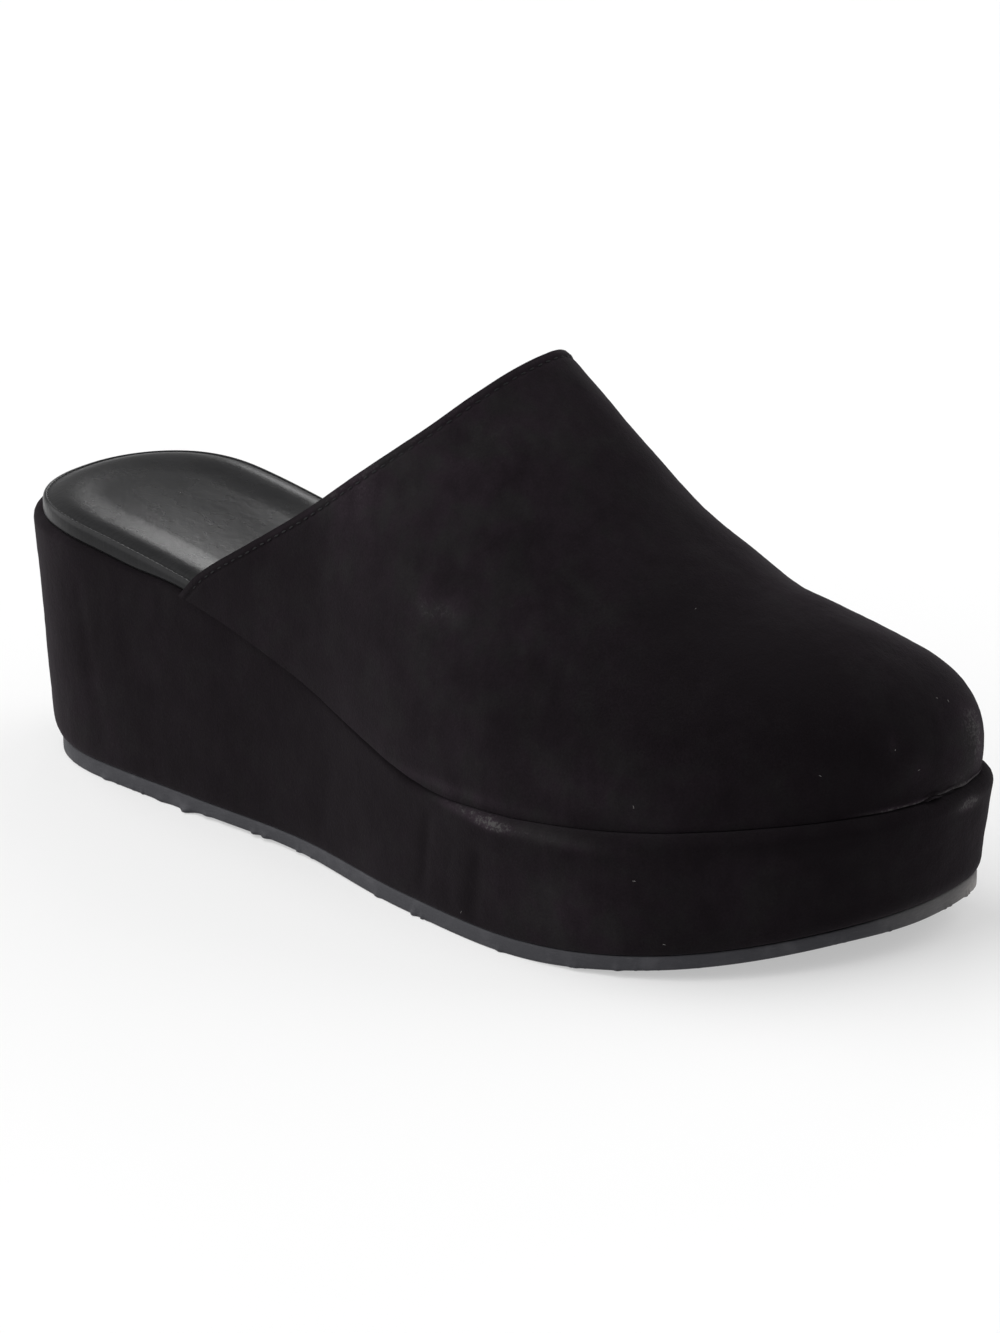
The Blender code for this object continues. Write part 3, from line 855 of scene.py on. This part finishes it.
# Where the upper's suede is lighter or darker, in millimetres: a place, a reach along each axis, and how
# much. Most are the nap's own tone and scuffs; the painted light among them is marked.
UPPER_NAP_AND_PAINTED_LIGHT = (
    {"at": (24.0, -37.3, 71.8), "reach": (9.0, 6.0, 3.0), "light": 0.38},
    {"at": (16.0, -38.0, 76.0), "reach": (6.0, 8.0, 4.0), "light": 0.16},
    # These two make the vamp's top and its peak lighter: painted light from above, and painted sheen at the
    # peak.
    {"at": (18.0, 16.0, 117.0), "reach": (12.0, 22.0, 8.0), "light": 0.20},
    {"at": (22.0, -16.0, 104.0), "reach": (28.0, 28.0, 18.0), "light": 0.56},
    {"at": (22.0, -38.0, 72.0), "reach": (26.0, 14.0, 34.0), "light": 0.26},
    {"at": (72.0, -40.0, 40.0), "reach": (30.0, 12.0, 8.0), "light": 0.32},
    {"at": (-6.0, -29.0, 88.0), "reach": (14.0, 12.0, 14.0), "light": 0.52},
    {"at": (46.0, -4.0, 90.0), "reach": (14.0, 18.0, 13.0), "light": 0.06},
    {"at": (118.0, 4.0, 50.5), "reach": (1.2, 1.6, 3.0), "light": 0.36},
    {"at": (121.0, 9.5, 44.0), "reach": (3.0, 3.0, 3.0), "light": 0.34},
    # Lighter at the toe's tip on its inner side: rubbed wear, and painted rim light along that edge.
    {"at": (121.0, 25.0, 47.0), "reach": (6.0, 8.0, 13.0), "light": 0.56},
    {"at": (121.0, 30.0, 50.0), "reach": (3.6, 4.2, 4.0), "light": 0.66},
    {"at": (122.2, 30.0, 43.0), "reach": (3.8, 4.2, 6.0), "light": 0.70},
    {"at": (121.5, 22.0, 38.5), "reach": (3.0, 3.0, 2.0), "light": 0.60},
    {"at": (98.0, 0.0, 65.0), "reach": (16.0, 14.0, 10.0), "light": -0.30},
    {"at": (80.0, -9.0, 69.0), "reach": (18.0, 14.0, 10.0), "light": -0.40},
    {"at": (110.0, -8.0, 50.0), "reach": (13.0, 12.0, 13.0), "light": -0.08},
    {"at": (44.0, -26.0, 76.0), "reach": (22.0, 16.0, 16.0), "light": 0.20},
    # A painted highlight along the outer side's lower edge, just above its dark line.
    {"at": (34.0, -43.0, 34.0), "reach": (24.0, 6.0, 1.6), "light": 0.56},
    {"at": (90.0, -30.0, 36.0), "reach": (26.0, 12.0, 2.0), "light": 0.10},
    {"at": (-40.0, -33.0, 52.0), "reach": (16.0, 8.0, 10.0), "light": 0.06},
)
# Soft hollows and swellings of the upper, in millimetres.
UPPER_DENTS = (
    {"at": (46.0, 22.0, 92.0), "reach": (12.0, 16.0, 12.0), "out": -0.35},
    {"at": (62.0, 24.0, 80.0), "reach": (7.0, 12.0, 9.0), "out": 0.25},
    {"at": (76.0, 26.0, 71.0), "reach": (8.0, 12.0, 8.0), "out": -0.30},
    {"at": (20.0, -38.0, 70.0), "reach": (12.0, 8.0, 10.0), "out": 0.25},
    {"at": (52.0, -34.0, 60.0), "reach": (16.0, 12.0, 16.0), "out": -0.30},
    {"at": (-10.0, -36.0, 62.0), "reach": (12.0, 8.0, 16.0), "out": -0.25},
    {"at": (100.0, -22.0, 52.0), "reach": (12.0, 12.0, 10.0), "out": 0.20},
    {"at": (107.0, 23.0, 65.0), "reach": (12.0, 10.0, 8.0), "out": -0.70},
    {"at": (84.0, 20.0, 72.5), "reach": (7.0, 10.0, 6.0), "out": 0.45},
    {"at": (122.5, 28.0, 45.0), "reach": (6.0, 9.0, 9.0), "out": 0.60},
)


def turn_of(along):
    return math.acos(1 - 2 * along)


def crown_height(x):
    box_top = PLATFORM_HEIGHT + TOE_BOX_HEIGHT
    return box_top + read(CROWN, "along", "height", x / LENGTH) * (PEAK_HEIGHT - box_top)


def crown_x(turn):
    """Where on the crown the section from this point of the edge ends: straight across, fanned at the toe."""
    start = turn_of(FAN_START)
    if turn <= start:
        return LENGTH * along_of(turn)
    first, last = FAN_START * LENGTH, LENGTH - LEDGE - TOE_BOX_DEPTH
    t = (turn - start) / (math.pi - start)
    pull = LENGTH / 2 * math.sin(start) * (math.pi - start)
    return (2 * t**3 - 3 * t**2 + 1) * first + (3 * t**2 - 2 * t**3) * last + (t**3 - 2 * t**2 + t) * pull


def upper_point(turn, lift, side):
    """A point of the upper's outside, in the heel's frame. turn picks the section, lift goes from 0 at the
    lower edge to pi / 2 at the crown, and side is -1 for the outer and 1 for the inner side."""
    full_turn = turn if side < 0 else 2 * math.pi - turn
    foot = edge_point(full_turn) + inward(full_turn) * feather_inset(full_turn)
    top_x = crown_x(turn)
    top = Vector((top_x, read(CROWN, "along", "side", top_x / LENGTH) * BALL_WIDTH))
    swell = BULGE * math.sin(2 * lift) * math.cos(lift)
    plan = top.lerp(foot, math.cos(lift)) + (foot - top).normalized() * swell
    square = read(CROWN, "along", "square", top_x / LENGTH)
    base = top_height(foot.x) + GAP
    height = base + (crown_height(plan.x) - base) * math.sin(lift) ** (2 / square)
    return Vector((plan.x, plan.y, height))


def topline_x(height):
    corner = top_height(CORNER_ALONG) + GAP
    up = (height - corner) / (PEAK_HEIGHT - corner)
    return CORNER_ALONG + read(TOPLINE, "up", "forward", up) * (PEAK_ALONG - CORNER_ALONG)


def first_turn(lift, side):
    """The turn at which the topline crosses this line of the upper."""
    low, high = turn_of(TOPLINE_SEARCH["from"]), turn_of(TOPLINE_SEARCH["to"])
    for _ in range(TOPLINE_SEARCH["halvings"]):
        middle = (low + high) / 2
        point = upper_point(middle, lift, side)
        low, high = (middle, high) if point.x < topline_x(point.z) else (low, middle)
    return high


def turn_pace(turn, lift, side):
    """How many metres of surface one unit of turn covers here."""
    return (upper_point(turn + 0.01, lift, side) - upper_point(turn, lift, side)).length / 0.01


def upper_grid(lifts, edge_columns, columns):
    """The upper's outside as a grid: from the outer lower edge over the crown to the inner one, and from the
    topline to the toe. The first columns keep their own distances from the topline."""
    starts = []
    for side, lift in [(-1, lift) for lift in lifts[:-1]] + [(1, lift) for lift in reversed(lifts)]:
        start = first_turn(lift, side)
        starts.append((side, lift, start, turn_pace(start, lift, side)))
    near = len(edge_columns) - 1

    def place(column, row):
        side, lift, start, pace = starts[row]
        if column <= near:
            return upper_point(start + edge_columns[column] / pace, lift, side)
        begin = start + edge_columns[-1] / pace
        return upper_point(begin + (math.pi - begin) * (column - near) / columns, lift, side)

    return sheet_of(near + columns, 2 * (len(lifts) - 1), place)


def topline_line(inward_by, side, steps):
    """Points along one side of the topline, this far in from it, each with its direction outwards."""
    line = []
    for lift in steps:
        start = first_turn(lift, side)
        turn = start + inward_by / turn_pace(start, lift, side)
        point = upper_point(turn, lift, side)
        onward = upper_point(turn + 0.01, lift, side) - point
        step = 0.01 if lift < 1 else -0.01
        upward = (upper_point(turn, lift + step, side) - point) * step
        line.append((point - home, onward.cross(upward).normalized() * -side))
    return line


def bell(far, spot):
    """1 where this distance is the spot's own, and falling off smoothly over its width."""
    return math.exp(-(((far - spot["at"]) / spot["width"]) ** 2))


def at_lip(co):
    """1 along the lower edge at the toe, where it stands up as a thin lip with a painted highlight, and 0
    elsewhere.
    """
    return bell(from_foot(co), LIP) * ramp((co.x + home.x) / LENGTH, LIP["from"], LIP["to"])


def shape_suede(mesh):
    """Gives the upper's outside its dents and small waves, the seam's furrow and roll, and the wavy lip."""
    mesh.normal_update()
    moves = []
    for vert in mesh.verts:
        out = sum(noise.noise(vert.co * size) * depth for size, depth in SUEDE_WAVES)
        for dent in UPPER_DENTS:
            out += dent["out"] * 0.001 * blob(vert.co, dent)
        far = from_topline(vert.co)
        out += bell(far, TOPLINE_ROLL) * TOPLINE_ROLL["out"] - bell(far, SEAM) * SEAM["deep"]
        lip = at_lip(vert.co)
        rise = lip * LIP_WAVE["high"] * (LIP_WAVE["level"] + noise.noise(vert.co * LIP_WAVE["a_metre"]))
        moves.append(vert.normal * (out + lip * LIP["out"]) + Vector((0.0, 0.0, rise)))
    for vert, move in zip(mesh.verts, moves):
        vert.co += move


def upper_light(co):
    """How much lighter or darker than its own shade the upper's nap is here, with its painted light and
    highlights included.
    """
    fuzz = bell(from_topline(co), TOPLINE_ROLL) * TOPLINE_ROLL["light"]
    return patches_of(UPPER_NAP_AND_PAINTED_LIGHT)(co) + fuzz + at_lip(co) * LIP["light"]


def thicken(piece, thickness):
    """Gives a sheet this thickness, inwards from its outside."""
    wall_depth = piece.modifiers.new("thickness", "SOLIDIFY")
    wall_depth.thickness = thickness
    wall_depth.offset = -1.0


all_lifts = [math.pi / 2 * k / TOPLINE_POINTS for k in range(TOPLINE_POINTS + 1)]
from_topline = away_from([p for side in (-1, 1) for p, _ in topline_line(0.0, side, all_lifts)])
foot_start = first_turn(0.0, -1)
foot_turns = [min(foot_start + k * TURN_STEP, math.pi) for k in range(FOOT_POINTS)]
from_foot = away_from([upper_point(turn, 0.0, side) - home for side in (-1, 1) for turn in foot_turns])
even_lifts = [math.pi / 2 * k / UPPER_ROWS for k in range(1, UPPER_ROWS + 1)]
upper_mesh = upper_grid([*EDGE_LIFTS, *even_lifts], EDGE_COLUMNS, UPPER_COLUMNS)
shape_suede(upper_mesh)
upper = piece_of("upper_suede", upper_mesh, suede_finish("upper_nap"), "upper")
paint(upper, "nap_and_painted_light", upper_light)
thicken(upper, SUEDE_THICKNESS)
rounding = upper.modifiers.new("turned_edge", "BEVEL")
rounding.width = TURNED_EDGE["width"]
rounding.segments = TURNED_EDGE["segments"]
rounding.limit_method = "ANGLE"
rounding.angle_limit = math.radians(TURNED_EDGE["angle"])


# Lining: thin black leather glued inside the upper. It stops just below the turned topline, and its raw edge
# shows from behind.
LINING_DEPTH = 0.00125
LINING_THICKNESS = 0.0007
LINING_EDGE = (0.0011, 0.0026, 0.0060)
LINING_ROWS = 44
LINING_COLUMNS = 80
LINING_BLACK = (0.0085, 0.0082, 0.0086)
LINING_GREY = (0.0190, 0.0185, 0.0190)
lining_leather, place, shader = new_finish("lining_leather", {"Metallic": 0.0, "Specular IOR Level": 0.35})
pores = place.add("ShaderNodeTexVoronoi", {"feature": "SMOOTH_F1"}, {"Vector": place, "Scale": 900.0})
clouds = place.grain(0.012, 3.0, 0.6)
wire_in(
    place,
    shader,
    {
        "Base Color": clouds.between(LINING_BLACK, LINING_GREY),
        "Roughness": 0.62 + 0.16 * clouds,
        "Normal": (pores * 0.6 + place.grain(0.0012) * 0.4).bump(0.0003, 0.5),
    },
)
lining_lifts = [math.pi / 2 * k / LINING_ROWS for k in range(LINING_ROWS + 1)]
lining_mesh = upper_grid(lining_lifts, LINING_EDGE, LINING_COLUMNS)
lining_mesh.normal_update()
for vert in lining_mesh.verts:
    vert.co -= vert.normal * LINING_DEPTH
lining = piece_of("lining", lining_mesh, lining_leather, None)
thicken(lining, LINING_THICKNESS)


# Topline stitches: one row of black thread round the turned edge, through the suede and its lining, so that
# each stitch shows outside and in.
TOPLINE_STITCH = {"pitch": 0.0026, "length": 0.0016, "radius": 0.00020}
STITCH_POINTS = 160
UNSEWN_POINTS = 4
STITCH_SINK = 0.00017
sewn_lifts = [math.pi / 2 * k / STITCH_POINTS for k in range(UNSEWN_POINTS, STITCH_POINTS + 1)]
topline_spots = topline_line(SEAM["at"], -1, sewn_lifts) + topline_line(SEAM["at"], 1, sewn_lifts[-2::-1])
outside = [(p - n * STITCH_SINK, n) for p, n in topline_spots]
inside = [(p - n * (LINING_DEPTH + LINING_THICKNESS), -n) for p, n in topline_spots]
sewn("topline_stitches", walk(outside, TOPLINE_STITCH["pitch"]), TOPLINE_STITCH, thread)
sewn("lining_stitches", walk(inside, TOPLINE_STITCH["pitch"]), TOPLINE_STITCH, thread)


# Lint: a few short pale fibres and crumbs that cling to the suede, most of them at the toe, and two on the
# footbed. Places and lengths are in millimetres.
LINT = (
    {"at": (81.9, -39.9, 23.8), "long": 0.9},
    {"at": (117.9, 20.2, 57.0), "long": 0.6},
    {"at": (118.9, 23.1, 55.7), "long": 0.7},
    {"at": (118.5, 4.3, 49.9), "long": 0.4},
    {"at": (121.2, 9.5, 44.3), "long": 0.6},
    {"at": (110.1, -11.3, 46.6), "long": 0.6},
    {"at": (79.8, -37.5, 39.8), "long": 0.8},
    {"at": (37.8, -45.8, 6.2), "long": 0.9},
    {"at": (71.9, -6.3, 74.6), "long": 0.6},
    {"at": (108.6, 9.0, 61.0), "long": 1.1},
    {"at": (104.0, -14.0, 36.0), "long": 0.4},
    {"at": (-100.0, -20.6, 62.6), "long": 0.7},
    {"at": (-92.4, 4.0, 61.0), "long": 0.8},
    {"at": (86.0, -34.0, 9.0), "long": 0.7},
)
LINT_WIDTH = 0.00006
LINT_DULL = (0.07, 0.068, 0.066)
LINT_PALE = (0.26, 0.25, 0.245)
lint_white, place, shader = new_finish(
    "lint_white", {"Metallic": 0.0, "Roughness": 1.0, "Specular IOR Level": 0.1}
)
wire_in(place, shader, {"Base Color": place.grain(0.0004).between(LINT_DULL, LINT_PALE)})
bpy.context.view_layer.update()
lint = bmesh.new()
for index, fibre in enumerate(LINT):
    spot = Vector(fibre["at"]) * 0.001
    hits = [piece.closest_point_on_mesh(spot) for piece in (upper, wedge, footbed)]
    _, near, out, _ = min(hits, key=lambda hit: (hit[1] - spot).length)
    lie = out.to_track_quat("Z", "Y").to_matrix().to_4x4() @ Matrix.Rotation(index * ODD_TURN, 4, "Z")
    grow = Matrix.Diagonal((fibre["long"] * 0.0005, LINT_WIDTH, LINT_WIDTH, 1.0))
    bmesh.ops.create_icosphere(lint, subdivisions=2, radius=1.0, matrix=Matrix.Translation(near) @ lie @ grow)
piece_of("lint", lint, lint_white, None)


# Studio: a plain pale floor that runs on past the frame, a broad soft window at the camera's left, a small
# one behind the shoe, a weaker one at its inner side, and pale surroundings that are brightest overhead.
FLOOR_WHITE = (0.42, 0.42, 0.42)
FLOOR_GLOW = 0.44
FLOOR_HALF = 60.0
ROOM_LOW = (0.85, 0.85, 0.85)
ROOM_HIGH = (1.0, 1.0, 1.0)
ROOM_STRENGTH = 0.50
floor_mesh = bmesh.new()
bmesh.ops.create_grid(floor_mesh, x_segments=1, y_segments=1, size=FLOOR_HALF)
floor_data = bpy.data.meshes.new("floor")
floor_mesh.to_mesh(floor_data)
floor_mesh.free()
floor = bpy.data.objects.new("floor", floor_data)
bpy.context.scene.collection.objects.link(floor)
floor_white, place, shader = new_finish("floor_white", {"Specular IOR Level": 0.0, "Roughness": 1.0})
shader.inputs["Base Color"].default_value = (*FLOOR_WHITE, 1.0)
shader.inputs["Emission Color"].default_value = (1.0, 1.0, 1.0, 1.0)
shader.inputs["Emission Strength"].default_value = FLOOR_GLOW
floor_data.materials.append(floor_white)


def soft_sun(name, azimuth, elevation, strength, spread):
    """A broad soft light from far off. Azimuth 0 lies towards -Y and 90 towards +X."""
    lamp = bpy.data.lights.new(name, "SUN")
    lamp.energy = strength
    lamp.angle = math.radians(spread)
    turn, up = math.radians(azimuth), math.radians(elevation)
    away = Vector((math.sin(turn) * math.cos(up), -math.cos(turn) * math.cos(up), math.sin(up)))
    light = bpy.data.objects.new(name, lamp)
    light.matrix_world = away.to_track_quat("Z", "Y").to_matrix().to_4x4()
    bpy.context.scene.collection.objects.link(light)


soft_sun("left_window", -52, 38, 3.6, 90)
soft_sun("back_window", -149, 23, 0.175, 12)
soft_sun("right_window", 160, 35, 0.9, 50)
world = bpy.data.worlds.new("pale_room")
world.use_nodes = True
sky = Wire(world.node_tree)
height = sky.add("ShaderNodeSeparateXYZ", {}, {0: sky.add("ShaderNodeTexCoord", {}, {}, 0)}, 2)
room = height.rise(0.35, 0.9).between(ROOM_LOW, ROOM_HIGH)
world.node_tree.links.new(room.socket, world.node_tree.nodes["Background"].inputs["Color"])
world.node_tree.nodes["Background"].inputs["Strength"].default_value = ROOM_STRENGTH
bpy.context.scene.world = world
bpy.context.scene.view_settings.view_transform = "Standard"


# Camera: at the photo's angle, a long lens from a little over a metre away, so that the shoe fills the frame
# as it does there.
AZIMUTH = 40.1
ELEVATION = 21.0
ROLL = -0.23
DISTANCE = 1.209
PIXELS_PER_METRE = 4370.0
IMAGE_WIDTH = 1000
IMAGE_HEIGHT = 1333
SENSOR_HEIGHT = 36.0
AIM = {"height": 0.050, "right": 0.0075, "up": -0.0082}
turn, up = math.radians(AZIMUTH), math.radians(ELEVATION)
back = Vector((math.sin(turn) * math.cos(up), -math.cos(turn) * math.cos(up), math.sin(up)))
right = Vector((math.cos(turn), math.sin(turn), 0.0))
above = back.cross(right)
target = Vector((LENGTH / 2, 0.0, AIM["height"])) + right * AIM["right"] + above * AIM["up"] - home
roll = math.radians(ROLL)
rolled_right = right * math.cos(roll) + above * math.sin(roll)
rolled_up = above * math.cos(roll) - right * math.sin(roll)
lens = bpy.data.cameras.new("photo_camera")
lens.sensor_fit = "VERTICAL"
lens.sensor_height = SENSOR_HEIGHT
lens.sensor_width = SENSOR_HEIGHT * IMAGE_WIDTH / IMAGE_HEIGHT
lens.lens = PIXELS_PER_METRE * DISTANCE * SENSOR_HEIGHT / IMAGE_HEIGHT
camera = bpy.data.objects.new("photo_camera", lens)
stance = Matrix((rolled_right, rolled_up, back)).transposed().to_4x4()
stance.translation = target + back * DISTANCE
camera.matrix_world = stance
bpy.context.scene.collection.objects.link(camera)
bpy.context.scene.camera = camera

bpy.context.view_layer.update()
